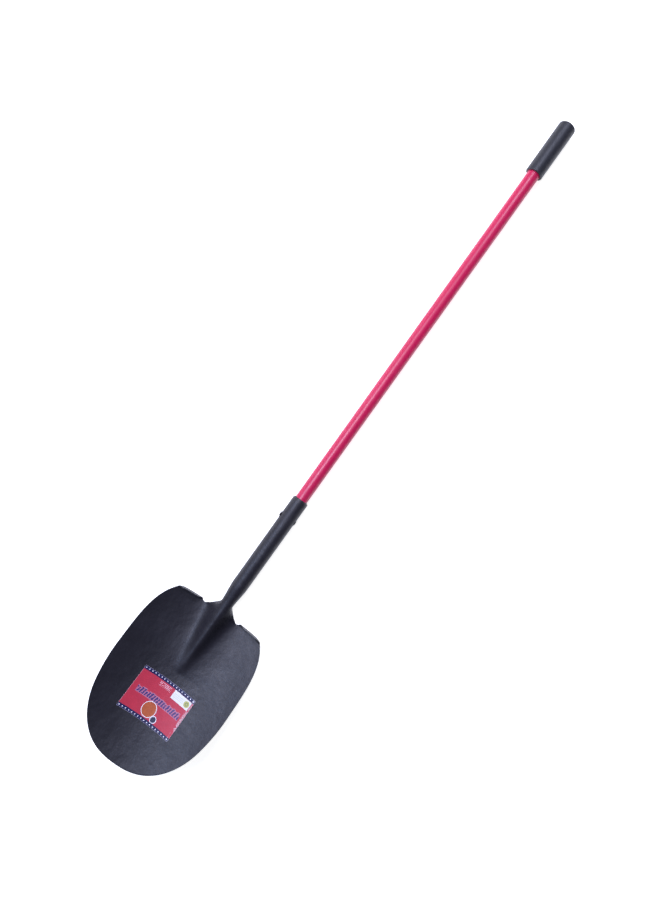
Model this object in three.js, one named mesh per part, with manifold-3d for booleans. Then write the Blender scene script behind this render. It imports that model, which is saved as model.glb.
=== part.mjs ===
// Round point shovel with a long fibreglass handle, in millimetres, +Z up.
// It lies face up: the blade's dish opens upwards, and it rests on the two heels of the blade
// and on the end grip, so the handle is level.
// Every piece is drawn along the handle's axis: x runs from the blade's nose to the grip's end,
// y goes across the blade, and z is the height above the axis. The last section moves the
// whole shovel so that the origin is the bottom centre of its box.
import * as THREE from 'three';
import { mergeVertices } from 'three/addons/utils/BufferGeometryUtils.js';
import Module from 'manifold-3d';

const wasm = await Module();
wasm.setup();

// ---- Driving dimensions ----------------------------------------------------------------------
const OVERALL_LENGTH = 1458;
const SHEET = 2;                  // thickness of the blade's steel
const GAP = 0.3;                  // clearance between pieces that touch

// Blade outline, seen from above
const BLADE_HALF_WIDTH = 123.7;
const WIDEST_AT = 175;
const NOSE_POWER = 2.29;          // superellipse power of the round nose
const SHOULDER_REACH = 163;       // where the shoulder's superellipse would close
const SHOULDER_POWER = 3.54;
const TOP_EDGE_AT = 311.8;        // where the sheet turns up into the steps and narrows to the neck
const CORNER_FROM = 0.8;          // part of the top edge's half width where its corner begins
const CORNER_DROP = 5;

// Blade dish, seen from the side: height of the centre line and radius across
const HEEL_AT = 320;
const HEEL_HEIGHT = -21.53;
const DISH_SLOPE = 0.172;
const DISH_CURVE = 0.00027;
const DISH_RADIUS = 250;

// Frog: the hollow ridge that carries the socket's line on into the blade
const FROG_END_AT = 179;
const FROG_END_REACH = 10;         // distance from the crest at which the ridge is down to a third
const FROG_TOP_REACH = 20.5;
const FROG_SKIRT = 0.38;          // share of the ridge that spreads out into the dish
const FROG_SKIRT_REACH = 32;

// Turned steps
const STEP_FROM = 40;             // distance of a step's inner end from the centre line
const STEP_HEIGHT = 14;
const STEP_BEND_RADIUS = 4;
const STEP_INNER_ROUND = 14;      // rounding of the strip's ends
const STEP_OUTER_ROUND = 16;
const STEP_LEAST = 0.05;          // part of the strip's length that is left at its ends

// Neck and socket (radii are those of the middle of the sheet)
const WING_HALF_WIDTH = 36;
const NECK_AT = 338;
const NECK_RADIUS = 11.9;
const NECK_WRAP = THREE.MathUtils.degToRad(112);
const SOCKET_AT = 384;
const SOCKET_RADIUS = 15.25;
const SOCKET_WRAP = THREE.MathUtils.degToRad(175);
const SOCKET_MOUTH_AT = 580;

// Handle, its crush plug and the sleeve that takes up the room in the socket
const HANDLE_RADIUS = 12.7;
const HANDLE_WALL = 3.1;
const HANDLE_FROM = 402;
const PLUG_LENGTH = 200;
const SLEEVE_THICKNESS = 0.75;
const SLEEVE_SHOWS = 2.5;         // how far the sleeve stands out of the socket's mouth

// Rivet across the socket
const RIVET_AT = 538;
const RIVET_RADIUS = 3;
const RIVET_HEAD_RADIUS = 5.5;
const RIVET_HEAD_HEIGHT = 1;
const BURR_THICKNESS = 0.6;

// End grip
const GRIP_RADIUS = 17.25;
const GRIP_FROM = 1345;
const GRIP_END_WALL = 6;
const GRIP_END_ROUND = 4.5;
const GRIP_MOUTH_ROUND = 1.5;

// Stickers on the dish, placed by their middle and turned a little, as stuck on by hand
const LABEL_TURN = THREE.MathUtils.degToRad(-1);
const LABEL = { x: 120, y: -0.4, across: 116.5, along: 82, lift: SHEET / 2 + GAP + 0.15, thickness: 0.25 };
const PRICE = {
  x: 145.8, y: -35.5, across: 39.5, along: 16, lift: SHEET / 2 + 2 * GAP + 0.45, thickness: 0.2,
};

const ROUND_SEGMENTS = 32;

// ---- Solids from sheets, lathes and cuts ------------------------------------------------------
// Gives a quad sheet its thickness: half in front, half behind, closed by a wall round each edge.
function thickenedSheet(points, quads, thickness) {
  const normals = points.map(() => new THREE.Vector3());
  const diagonal = new THREE.Vector3();
  const otherDiagonal = new THREE.Vector3();
  for (const quad of quads) {
    const [a, b, c, d] = quad.map((index) => points[index]);
    diagonal.subVectors(c, a);
    otherDiagonal.subVectors(d, b);
    const normal = new THREE.Vector3().crossVectors(diagonal, otherDiagonal).normalize();
    for (const index of quad) normals[index].add(normal);
  }
  const positions = [];
  for (const side of [1, -1]) {
    points.forEach((point, index) => {
      const offset = normals[index].clone().setLength(side * thickness / 2);
      positions.push(...point.clone().add(offset));
    });
  }
  const back = points.length;
  const directed = new Set(quads.flatMap((quad) => quad.map((from, k) => `${from}>${quad[(k + 1) % 4]}`)));
  const triangles = [];
  for (const quad of quads) {
    const [a, b, c, d] = quad;
    triangles.push(a, b, c, a, c, d);
    triangles.push(back + a, back + c, back + b, back + a, back + d, back + c);
    quad.forEach((from, k) => {
      const to = quad[(k + 1) % 4];
      if (directed.has(`${to}>${from}`)) return;
      triangles.push(to, from, back + from, to, back + from, back + to);
    });
  }
  const geometry = new THREE.BufferGeometry();
  geometry.setAttribute('position', new THREE.Float32BufferAttribute(positions, 3));
  geometry.setIndex(triangles);
  return geometry;
}

function toSolid(geometry) {
  const bare = geometry.clone();
  bare.deleteAttribute('normal');
  bare.deleteAttribute('uv');
  const merged = mergeVertices(bare, 1e-4);
  return new wasm.Manifold(new wasm.Mesh({
    numProp: 3,
    vertProperties: merged.attributes.position.array,
    triVerts: new Uint32Array(merged.index.array),
  }));
}

function toGeometry(solid) {
  const mesh = solid.getMesh();
  const geometry = new THREE.BufferGeometry();
  geometry.setAttribute('position', new THREE.BufferAttribute(mesh.vertProperties, 3));
  geometry.setIndex(new THREE.BufferAttribute(mesh.triVerts, 1));
  return geometry;
}

// A turned piece: the profile lists (place along the axis, radius), outside first, and the axis
// becomes the x axis.
function turned(profile, segments = ROUND_SEGMENTS) {
  const outline = profile.map(([along, radius]) => new THREE.Vector2(radius, along));
  return new THREE.LatheGeometry(outline, segments).rotateZ(-Math.PI / 2);
}

function hollowCylinder(from, to, outerRadius, innerRadius) {
  return turned([
    [from, innerRadius], [from, outerRadius], [to, outerRadius], [to, innerRadius], [from, innerRadius],
  ]);
}

// Points of a quarter round, from one angle to the next, for a turned profile.
function quarterRound(along, radius, size, fromDegrees, steps) {
  return Array.from({ length: steps + 1 }, (_, k) => {
    const angle = THREE.MathUtils.degToRad(fromDegrees + 90 * k / steps);
    return [along + size * Math.sin(angle), radius + size * Math.cos(angle)];
  });
}

function withRivetHole(geometry) {
  const drill = new THREE.CylinderGeometry(RIVET_RADIUS + GAP, RIVET_RADIUS + GAP, 80, 20);
  drill.translate(RIVET_AT, 0, 0);
  return toGeometry(toSolid(geometry).subtract(toSolid(drill)));
}

// ---- Blade surface ---------------------------------------------------------------------------
const smooth = (value) => {
  const t = THREE.MathUtils.clamp(value, 0, 1);
  return t * t * (3 - 2 * t);
};

function dishCentre(x) {
  const forward = HEEL_AT - x;
  return HEEL_HEIGHT + DISH_SLOPE * forward + DISH_CURVE * forward * forward;
}

function bladeHeight(x, y) {
  const dish = dishCentre(x) + y * y / (2 * DISH_RADIUS);
  const along = (x - FROG_END_AT) / (TOP_EDGE_AT - FROG_END_AT);
  if (along <= 0) return dish;
  const crest = THREE.MathUtils.lerp(dishCentre(FROG_END_AT), NECK_RADIUS, along);
  const reach = THREE.MathUtils.lerp(FROG_END_REACH, FROG_TOP_REACH, along * along);
  const skirt = FROG_SKIRT * (1 - along * along);
  const core = Math.exp(-((y / reach) ** 2));
  const ridge = (1 - skirt) * core + skirt * Math.exp(-((y / FROG_SKIRT_REACH) ** 2));
  return dish + (crest - dishCentre(x)) * ridge;
}

function shoulderHalfWidth(x) {
  const part = (x - WIDEST_AT) / SHOULDER_REACH;
  return BLADE_HALF_WIDTH * (1 - part ** SHOULDER_POWER) ** (1 / SHOULDER_POWER);
}

const TOP_HALF_WIDTH = shoulderHalfWidth(TOP_EDGE_AT);

// The round nose, for v from -1 (left widest point) over 0 (nose) to 1 (right widest point).
function nosePoint(v) {
  const angle = Math.abs(v) * Math.PI / 2;
  const out = Math.max(0, Math.sin(angle)) ** (2 / NOSE_POWER);
  const back = Math.max(0, Math.cos(angle)) ** (2 / NOSE_POWER);
  return { x: WIDEST_AT * (1 - back), y: Math.sign(v) * BLADE_HALF_WIDTH * out };
}

// A point of the blade seen from above: u runs from the nose's edge (0) to the top edge (1).
// The patch is filled in between its four edges.
function planPoint(u, v) {
  const nose = nosePoint(v);
  const sideX = THREE.MathUtils.lerp(WIDEST_AT, TOP_EDGE_AT, u);
  const sideY = shoulderHalfWidth(sideX);
  const straightSideY = THREE.MathUtils.lerp(BLADE_HALF_WIDTH, TOP_HALF_WIDTH, u);
  const corner = Math.max(0, Math.abs(v) - CORNER_FROM) / (1 - CORNER_FROM);
  const x = THREE.MathUtils.lerp(nose.x, TOP_EDGE_AT - CORNER_DROP * corner * corner, u);
  const y = THREE.MathUtils.lerp(nose.y, v * TOP_HALF_WIDTH, u) + v * (sideY - straightSideY);
  const along = THREE.MathUtils.clamp((x - PINCH_FROM) / (TOP_EDGE_AT - PINCH_FROM), 0, 1);
  const pinch = COLUMN_PINCH * Math.sin(Math.PI * along) ** 2 * (1 - Math.abs(v)) ** 2;
  return { x, y: y * (1 - pinch) };
}

// ---- Blade and socket: one pressed sheet --------------------------------------------------------
// Column edges from the centre line out, as parts of the top edge's half width.
const even = (part) => part;
const closeAtEnds = (part) => 0.5 - 0.5 * Math.cos(Math.PI * part);
const COLUMNS = [
  { to: WING_HALF_WIDTH, count: 11, name: 'neck', spacing: even },
  { to: STEP_FROM, count: 1, name: 'step', spacing: even },
  { to: TOP_HALF_WIDTH, count: 9, name: 'step', spacing: closeAtEnds },
];
const COLUMN_PINCH = 0.6;         // how much the middle columns close in round the frog's end
const PINCH_FROM = 80;
const BLADE_ROWS = 20;
const WING_STATIONS = 6;
const NECK_STATIONS = 6;
const SOCKET_STATIONS = 3;
const STEP_STATIONS = 6;

function columnPlaces() {
  const right = [{ v: 0, name: 'neck' }];
  let from = 0;
  for (const { to, count, name, spacing } of COLUMNS) {
    for (let k = 1; k <= count; k += 1) {
      right.push({ v: THREE.MathUtils.lerp(from, to, spacing(k / count)) / TOP_HALF_WIDTH, name });
    }
    from = to;
  }
  const left = right.slice(1).reverse().map(({ v, name }) => ({ v: -v, name }));
  return [...left, ...right];
}

// The wing, neck and socket at a station x, for c from -1 to 1 across the sheet.
function neckPoint(x, c) {
  const rolled = smooth((x - NECK_AT) / (SOCKET_AT - NECK_AT));
  const wrap = THREE.MathUtils.lerp(NECK_WRAP, SOCKET_WRAP, rolled);
  const radius = THREE.MathUtils.lerp(NECK_RADIUS, SOCKET_RADIUS, rolled);
  const tube = new THREE.Vector3(x, radius * Math.sin(c * wrap), radius * Math.cos(c * wrap));
  const rest = THREE.MathUtils.clamp((NECK_AT - x) / (NECK_AT - TOP_EDGE_AT), 0, 1);
  const wingY = c * WING_HALF_WIDTH;
  const wing = new THREE.Vector3(x, wingY, bladeHeight(TOP_EDGE_AT, wingY));
  return tube.lerp(wing, rest ** 1.3);
}

// How long the strip that makes a step is, at a distance from the centre line.
const STEP_START_ANGLE = -Math.atan(DISH_SLOPE);
const STEP_BEND_LENGTH = STEP_BEND_RADIUS * (Math.PI / 2 - STEP_START_ANGLE);
const STEP_STRIP = STEP_BEND_LENGTH + STEP_HEIGHT - STEP_BEND_RADIUS;

function stripLength(reach) {
  const inner = smooth((reach - STEP_FROM) / STEP_INNER_ROUND);
  const outer = smooth((TOP_HALF_WIDTH - reach) / STEP_OUTER_ROUND);
  return STEP_STRIP * Math.max(STEP_LEAST, inner * outer);
}

// Where a point of the strip goes when the strip is turned up: round the bend, then straight up.
function stepOffset(length) {
  const angle = STEP_START_ANGLE + Math.min(length, STEP_BEND_LENGTH) / STEP_BEND_RADIUS;
  const forward = STEP_BEND_RADIUS * (Math.sin(angle) - Math.sin(STEP_START_ANGLE));
  const up = STEP_BEND_RADIUS * (Math.cos(STEP_START_ANGLE) - Math.cos(angle));
  return { forward, up: up + Math.max(0, length - STEP_BEND_LENGTH) };
}

function stations(from, to, count) {
  return Array.from({ length: count }, (_, k) => THREE.MathUtils.lerp(from, to, (k + 1) / count));
}

function bladeAndSocket() {
  const points = [];
  const quads = [];
  const columns = columnPlaces();
  const addPoint = (point) => points.push(point) - 1;
  const addStrip = (near, far) => {
    for (let k = 0; k + 1 < near.length; k += 1) quads.push([near[k], far[k], far[k + 1], near[k + 1]]);
  };

  let row = [];
  for (let k = 0; k <= BLADE_ROWS; k += 1) {
    const next = columns.map(({ v }) => {
      const { x, y } = planPoint(k / BLADE_ROWS, v);
      return addPoint(new THREE.Vector3(x, y, bladeHeight(x, y)));
    });
    if (k > 0) addStrip(row, next);
    row = next;
  }
  const topRow = row;

  // Wings, neck and socket grow out of the middle of the top edge.
  const neckColumns = columns.map((column, k) => ({ ...column, k })).filter(({ name }) => name === 'neck');
  const neckStations = [
    ...stations(TOP_EDGE_AT, NECK_AT, WING_STATIONS),
    ...stations(NECK_AT, SOCKET_AT, NECK_STATIONS),
    ...stations(SOCKET_AT, SOCKET_MOUTH_AT, SOCKET_STATIONS),
  ];
  row = neckColumns.map(({ k }) => topRow[k]);
  for (const x of neckStations) {
    const next = neckColumns.map(({ v }) => addPoint(neckPoint(x, v * TOP_HALF_WIDTH / WING_HALF_WIDTH)));
    addStrip(row, next);
    row = next;
  }

  // Each step is a strip of the top edge turned up square to the handle.
  for (const side of [-1, 1]) {
    const flank = columns
      .map(({ v }, k) => ({ reach: v * side * TOP_HALF_WIDTH, k }))
      .filter(({ reach }) => reach >= STEP_FROM - GAP);
    row = flank.map(({ k }) => topRow[k]);
    for (let k = 1; k <= STEP_STATIONS; k += 1) {
      const next = flank.map((column) => {
        const { forward, up } = stepOffset(k / STEP_STATIONS * stripLength(column.reach));
        return addPoint(points[topRow[column.k]].clone().add(new THREE.Vector3(forward, 0, up)));
      });
      addStrip(row, next);
      row = next;
    }
  }
  return withRivetHole(thickenedSheet(points, quads, SHEET));
}

// ---- Stickers ------------------------------------------------------------------------------------
function sticker({ x, y, across, along, lift, thickness }, columns, rows) {
  const points = [];
  const quads = [];
  const slope = 0.01;
  for (let r = 0; r <= rows; r += 1) {
    for (let c = 0; c <= columns; c += 1) {
      const forward = along * (r / rows - 0.5);
      const side = across * (c / columns - 0.5);
      const px = x + forward * Math.cos(LABEL_TURN) - side * Math.sin(LABEL_TURN);
      const py = y + forward * Math.sin(LABEL_TURN) + side * Math.cos(LABEL_TURN);
      const height = bladeHeight(px, py);
      const fall = (bladeHeight(px + slope, py) - height) / slope;
      const bank = (bladeHeight(px, py + slope) - height) / slope;
      const normal = new THREE.Vector3(-fall, -bank, 1).setLength(lift);
      points.push(new THREE.Vector3(px, py, height).add(normal));
      if (r === rows || c === columns) continue;
      const corner = r * (columns + 1) + c;
      quads.push([corner, corner + columns + 1, corner + columns + 2, corner + 1]);
    }
  }
  return thickenedSheet(points, quads, thickness);
}

// ---- Handle, plug, sleeve, grip --------------------------------------------------------------------
const GRIP_INNER_RADIUS = HANDLE_RADIUS + GAP;
const HANDLE_TO = OVERALL_LENGTH - GRIP_END_WALL - GAP;

function handleTube() {
  return withRivetHole(hollowCylinder(HANDLE_FROM, HANDLE_TO, HANDLE_RADIUS, HANDLE_RADIUS - HANDLE_WALL));
}

function crushPlug() {
  const radius = HANDLE_RADIUS - HANDLE_WALL - GAP;
  const end = HANDLE_FROM + PLUG_LENGTH;
  const chamfer = 1.5;
  return withRivetHole(turned([
    [HANDLE_FROM, 0], [HANDLE_FROM, radius - chamfer], [HANDLE_FROM + chamfer, radius],
    [end - chamfer, radius], [end, radius - chamfer], [end, 0],
  ]));
}

function socketSleeve() {
  const inner = HANDLE_RADIUS + GAP;
  const outer = inner + SLEEVE_THICKNESS;
  return withRivetHole(hollowCylinder(HANDLE_FROM, SOCKET_MOUTH_AT + SLEEVE_SHOWS, outer, inner));
}

function endGrip() {
  const bottom = OVERALL_LENGTH - GRIP_END_WALL;
  const round = GRIP_END_ROUND;
  return turned([
    [bottom, 0],
    [bottom, GRIP_INNER_RADIUS],
    [GRIP_FROM, GRIP_INNER_RADIUS],
    ...quarterRound(GRIP_FROM + GRIP_MOUTH_ROUND, GRIP_RADIUS - GRIP_MOUTH_ROUND, GRIP_MOUTH_ROUND, -90, 3),
    ...quarterRound(OVERALL_LENGTH - round, GRIP_RADIUS - round, round, 0, 5),
    [OVERALL_LENGTH, 0],
  ], 40);
}

// ---- Rivet -----------------------------------------------------------------------------------------
const SOCKET_SKIN = SOCKET_RADIUS + SHEET / 2 + GAP;

// A low domed head from its seat outwards, as (place along the rivet, radius).
function headProfile(seat, steps = 4) {
  return Array.from({ length: steps + 1 }, (_, k) => {
    const angle = Math.PI / 2 * k / steps;
    return [seat + RIVET_HEAD_HEIGHT * Math.sin(angle), RIVET_HEAD_RADIUS * Math.cos(angle)];
  });
}

function acrossSocket(geometry) {
  return geometry.rotateZ(Math.PI / 2).translate(RIVET_AT, 0, 0);
}

function socketRivet() {
  const plainSeat = SOCKET_SKIN;
  const burrSeat = SOCKET_SKIN + BURR_THICKNESS + GAP;
  const plainHead = headProfile(plainSeat).reverse().map(([along, radius]) => [-along, radius]);
  return acrossSocket(turned([
    ...plainHead, [-plainSeat, RIVET_RADIUS], [burrSeat, RIVET_RADIUS], ...headProfile(burrSeat),
  ], 24));
}

function rivetBurr() {
  const from = SOCKET_SKIN;
  const inner = RIVET_RADIUS + GAP;
  const outer = RIVET_HEAD_RADIUS + 1;
  return acrossSocket(turned([
    [from, inner], [from, outer],
    [from + BURR_THICKNESS, outer], [from + BURR_THICKNESS, inner],
    [from, inner],
  ], 24));
}

// ---- Materials and assembly ------------------------------------------------------------------------
const blackSteel = { color: 0x24242b, roughness: 0.45, metalness: 0.3 };
const redFibreglass = { color: 0xc62453, roughness: 0.25, metalness: 0 };
const blackRubber = { color: 0x35363f, roughness: 0.6, metalness: 0 };
const blackPlastic = { color: 0x1c1c20, roughness: 0.5, metalness: 0 };
const paleWood = { color: 0xb98f5c, roughness: 0.7, metalness: 0 };
const plainSteel = { color: 0x3a3a40, roughness: 0.4, metalness: 0.8 };
const redPaper = { color: 0xb5405a, roughness: 0.5, metalness: 0 };
const whitePaper = { color: 0xe9e9e6, roughness: 0.6, metalness: 0 };

const shovel = new THREE.Group();

function addPiece(name, geometry, look) {
  const mesh = new THREE.Mesh(geometry, new THREE.MeshStandardMaterial(look));
  geometry.computeVertexNormals();
  mesh.name = name;
  shovel.add(mesh);
}

addPiece('blade_and_socket', bladeAndSocket(), blackSteel);
addPiece('handle_tube', handleTube(), redFibreglass);
addPiece('crush_plug', crushPlug(), paleWood);
addPiece('socket_sleeve', socketSleeve(), blackPlastic);
addPiece('socket_rivet', socketRivet(), plainSteel);
addPiece('rivet_burr', rivetBurr(), plainSteel);
addPiece('end_grip', endGrip(), blackRubber);
addPiece('blade_label', sticker(LABEL, 14, 8), redPaper);
addPiece('price_sticker', sticker(PRICE, 6, 2), whitePaper);

// The origin is the bottom centre of the shovel's box.
const box = new THREE.Box3().setFromObject(shovel);
const middle = box.getCenter(new THREE.Vector3());
shovel.position.set(-middle.x, -middle.y, -box.min.z);

export default shovel;
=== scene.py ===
"""Looks of a long-handled round point shovel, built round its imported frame. Metres, +Z up.

The shovel lies face up along +X, blade at -X and grip at +X. Sizes of the pressed blade are the
frame's own, given along the handle's axis: x from the blade's nose, y across, z above the axis.
"""
import math

import bmesh
import bpy
import numpy as np
from mathutils import Matrix, Vector


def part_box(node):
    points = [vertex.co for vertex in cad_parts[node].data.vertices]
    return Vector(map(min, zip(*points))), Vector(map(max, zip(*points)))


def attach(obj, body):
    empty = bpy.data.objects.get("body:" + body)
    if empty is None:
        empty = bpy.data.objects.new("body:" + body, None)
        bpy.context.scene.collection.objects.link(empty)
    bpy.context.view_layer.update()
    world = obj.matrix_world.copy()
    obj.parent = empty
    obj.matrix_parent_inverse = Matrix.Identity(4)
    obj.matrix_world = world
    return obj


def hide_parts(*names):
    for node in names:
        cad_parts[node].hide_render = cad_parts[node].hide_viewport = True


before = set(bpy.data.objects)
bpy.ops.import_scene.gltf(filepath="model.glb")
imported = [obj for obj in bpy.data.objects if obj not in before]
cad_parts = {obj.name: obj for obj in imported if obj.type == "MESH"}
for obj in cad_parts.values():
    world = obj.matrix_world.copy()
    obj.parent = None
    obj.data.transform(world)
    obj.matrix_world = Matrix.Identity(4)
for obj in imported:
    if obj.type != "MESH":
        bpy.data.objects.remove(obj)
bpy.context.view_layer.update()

# ---- Driving dimensions ----------------------------------------------------------------
OVERALL_LENGTH = 1.458
SHEET = 0.002                   # the blade's steel
EDGE_ROUND = 0.0006             # how far the sheet's cut edges are broken

BLADE_HALF_WIDTH = 0.1237
WIDEST_AT = 0.175
NOSE_POWER = 2.29
SHOULDER_REACH = 0.163
SHOULDER_POWER = 3.54
TOP_EDGE_AT = 0.3118
CORNER_FROM = 0.8               # part of the top edge's half width where its corner begins
CORNER_DROP = 0.005

HEEL_AT = 0.320
HEEL_HEIGHT = -0.02153
DISH_SLOPE = 0.172
DISH_CURVE = 0.27
DISH_RADIUS = 0.250

FROG_END_AT = 0.179
FROG_END_REACH = 0.010
FROG_TOP_REACH = 0.0205
FROG_SKIRT = 0.38              # share of the ridge that spreads out into the dish
FROG_SKIRT_REACH = 0.032

STEP_FROM = 0.040
STEP_HEIGHT = 0.014
STEP_BEND_RADIUS = 0.004
STEP_INNER_ROUND = 0.014
STEP_OUTER_ROUND = 0.016

WING_HALF_WIDTH = 0.036
NECK_AT = 0.338
NECK_RADIUS = 0.0119
NECK_WRAP = math.radians(112)
SOCKET_AT = 0.384
SOCKET_RADIUS = 0.01525
SOCKET_WRAP = math.radians(175)
SOCKET_MOUTH_AT = 0.580

HANDLE_FROM = 0.402             # where the handle and its sleeve start, from the nose
HANDLE_RADIUS = 0.0127
HANDLE_BORE = 0.0096
SLEEVE_THICKNESS = 0.00075
SLEEVE_SHOWS = 0.0025           # past the socket's mouth
GRIP_RADIUS = 0.01725
GRIP_END_ROUND = 0.0045
GRIP_MOUTH_ROUND = 0.0015
GRIP_FROM = 1.345
GRIP_END_WALL = 0.006
RIVET_AT = 0.538
RIVET_RADIUS = 0.003
HEAD_RADIUS = 0.0055
HEAD_HEIGHT = 0.001
BURR = 0.0006
FIT = 0.0003                    # clearance between pieces that touch

LABEL_TURN = math.radians(-1)
LABEL_SIZE = (0.1165, 0.082)
LABEL_MIDDLE = (0.120, -0.0004)
PRICE_SIZE = (0.0395, 0.016)
PRICE_MIDDLE = (0.1458, -0.0355)

# Where the handle's axis and the blade's nose are in the frame
AXIS_HEIGHT = sum(corner[2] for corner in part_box("handle_tube")) / 2
NOSE_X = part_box("end_grip")[1][0] - OVERALL_LENGTH


# ---- Meshes and modifiers --------------------------------------------------------------
def placed(points):
    """Points given along the handle's axis, in the frame's place."""
    return np.asarray(points, dtype=float) + np.array([NOSE_X, 0, AXIS_HEIGHT])


def mesh_object(name, points, faces, edges=()):
    mesh = bpy.data.meshes.new(name)
    mesh.from_pydata([tuple(point) for point in points], list(edges), [tuple(face) for face in faces])
    piece = bpy.data.objects.new(name, mesh)
    bpy.context.scene.collection.objects.link(piece)
    return piece


def made_plain(piece):
    """Applies the piece's modifiers: its mesh becomes the evaluated one, and none are left."""
    bpy.context.view_layer.update()
    graph = bpy.context.evaluated_depsgraph_get()
    mesh = bpy.data.meshes.new_from_object(piece.evaluated_get(graph))
    piece.modifiers.clear()
    piece.data = mesh
    mesh.name = piece.name
    return piece


def facing_out(piece):
    """Turns the faces of a closed mesh outwards, once its doubles are merged."""
    work = bmesh.new()
    work.from_mesh(piece.data)
    bmesh.ops.remove_doubles(work, verts=work.verts, dist=1e-6)
    bmesh.ops.recalc_face_normals(work, faces=work.faces)
    work.to_mesh(piece.data)
    work.free()
    return piece


def smooth_shaded(piece, sharp_degrees=40):
    piece.data.shade_smooth()
    piece.data.set_sharp_from_angle(angle=math.radians(sharp_degrees))
    return piece


def finished(piece, material, slot, *nodes):
    piece.data.materials.clear()
    piece.data.materials.append(material)
    for polygon in piece.data.polygons:
        polygon.material_index = 0
    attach(piece, "root")
    if nodes:
        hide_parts(*nodes)
    return piece


# ---- Node trees ------------------------------------------------------------------------
def node(tree, kind, inputs=None, **settings):
    """A new node with its settings, and its inputs set by name or place to values or sockets."""
    made = tree.nodes.new(kind)
    for name, value in settings.items():
        setattr(made, name, value)
    for key, value in (inputs or {}).items():
        if isinstance(value, bpy.types.NodeSocket):
            tree.links.new(value, made.inputs[key])
        else:
            made.inputs[key].default_value = value
    return made


def math_node(tree, operation, first, second=0.0, third=0.0, clamp=False):
    made = node(tree, "ShaderNodeMath", {0: first, 1: second, 2: third},
                operation=operation, use_clamp=clamp)
    return made.outputs[0]


def new_group(name, kind, inputs, outputs):
    """A node group with named sockets: each input is (name, socket type, default)."""
    tree = bpy.data.node_groups.new(name, kind)
    for socket_name, socket_type, default in inputs:
        socket = tree.interface.new_socket(socket_name, in_out="INPUT", socket_type=socket_type)
        if default is not None:
            socket.default_value = default
    for socket_name, socket_type in outputs:
        tree.interface.new_socket(socket_name, in_out="OUTPUT", socket_type=socket_type)
    return tree, tree.nodes.new("NodeGroupInput").outputs, tree.nodes.new("NodeGroupOutput").inputs


# ---- Turning: profiles revolved about the handle's axis --------------------------------
def lathe_tree():
    """Turns the object's own wire profile, (along, 0, radius), about the X axis."""
    tree, given, result = new_group("turn_on_lathe", "GeometryNodeTree", [
        ("Profile", "NodeSocketGeometry", None),
        ("Segments", "NodeSocketInt", 64),
        ("Waviness", "NodeSocketFloat", 0.0),
        ("Wave Scale", "NodeSocketFloat", 20.0),
        ("Seed", "NodeSocketFloat", 3.0),
        ("Material", "NodeSocketMaterial", None),
    ], [("Geometry", "NodeSocketGeometry")])
    size = node(tree, "GeometryNodeAttributeDomainSize", {0: given["Profile"]}, component="MESH")
    around = math_node(tree, "ADD", given["Segments"], 1)
    grid = node(tree, "GeometryNodeMeshGrid", {
        "Size X": 1.0, "Size Y": 1.0, "Vertices X": size.outputs["Point Count"], "Vertices Y": around})
    place = node(tree, "ShaderNodeSeparateXYZ", {0: node(tree, "GeometryNodeInputPosition").outputs[0]})
    last = math_node(tree, "SUBTRACT", size.outputs["Point Count"], 1)
    share = math_node(tree, "ADD", place.outputs[0], 0.5)
    row = math_node(tree, "ROUND", math_node(tree, "MULTIPLY", share, last))
    angle = math_node(tree, "MULTIPLY", math_node(tree, "ADD", place.outputs[1], 0.5), math.tau)
    profile_point = node(tree, "GeometryNodeSampleIndex", {"Geometry": given["Profile"], "Index": row},
                         data_type="FLOAT_VECTOR", domain="POINT")
    tree.links.new(node(tree, "GeometryNodeInputPosition").outputs[0], profile_point.inputs["Value"])
    parts = node(tree, "ShaderNodeSeparateXYZ", {0: profile_point.outputs["Value"]})
    noise = node(tree, "ShaderNodeTexNoise", {
        "Vector": node(tree, "ShaderNodeCombineXYZ", {0: parts.outputs[0]}).outputs[0],
        "W": given["Seed"], "Scale": given["Wave Scale"], "Detail": 2.0}, noise_dimensions="4D")
    swing = math_node(tree, "SUBTRACT", noise.outputs[0], 0.5)
    wave = math_node(tree, "MULTIPLY", swing, given["Waviness"])
    on_axis = math_node(tree, "LESS_THAN", parts.outputs[2], 1e-5)
    wave = math_node(tree, "MULTIPLY", wave, math_node(tree, "SUBTRACT", 1.0, on_axis))
    radius = math_node(tree, "ADD", parts.outputs[2], wave)
    turned = node(tree, "ShaderNodeCombineXYZ", {
        0: parts.outputs[0],
        1: math_node(tree, "MULTIPLY", radius, math_node(tree, "COSINE", angle)),
        2: math_node(tree, "MULTIPLY", radius, math_node(tree, "SINE", angle))})
    moved = node(tree, "GeometryNodeSetPosition", {
        "Geometry": grid.outputs["Mesh"], "Position": turned.outputs[0]})
    closed = node(tree, "GeometryNodeMergeByDistance", {"Geometry": moved.outputs[0], "Distance": 1e-6})
    real = node(tree, "GeometryNodeRealizeInstances", {"Geometry": closed.outputs[0]})
    painted = node(tree, "GeometryNodeSetMaterial", {
        "Geometry": real.outputs[0], "Material": given["Material"]})
    tree.links.new(painted.outputs[0], result["Geometry"])
    return tree


def use_tree(piece, tree, **values):
    """Adds the Geometry Nodes modifier, sets its named inputs, and makes the result plain."""
    modifier = piece.modifiers.new(tree.name, "NODES")
    modifier.node_group = tree
    sockets = {item.name: item.identifier for item in tree.interface.items_tree
               if item.in_out == "INPUT"}
    for name, value in values.items():
        modifier[sockets[name.replace("_", " ")]] = value
    return made_plain(piece)


LATHE = lathe_tree()


def arc(along, radius, size, from_degrees, to_degrees, steps=8):
    """Points of a rounded corner of a profile, as (along, radius)."""
    angles = np.radians(np.linspace(from_degrees, to_degrees, steps + 1))
    return [(along + size * math.sin(angle), radius + size * math.cos(angle)) for angle in angles]


def line(start, end, steps):
    return [tuple(point) for point in np.linspace(start, end, steps + 1)]


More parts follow.
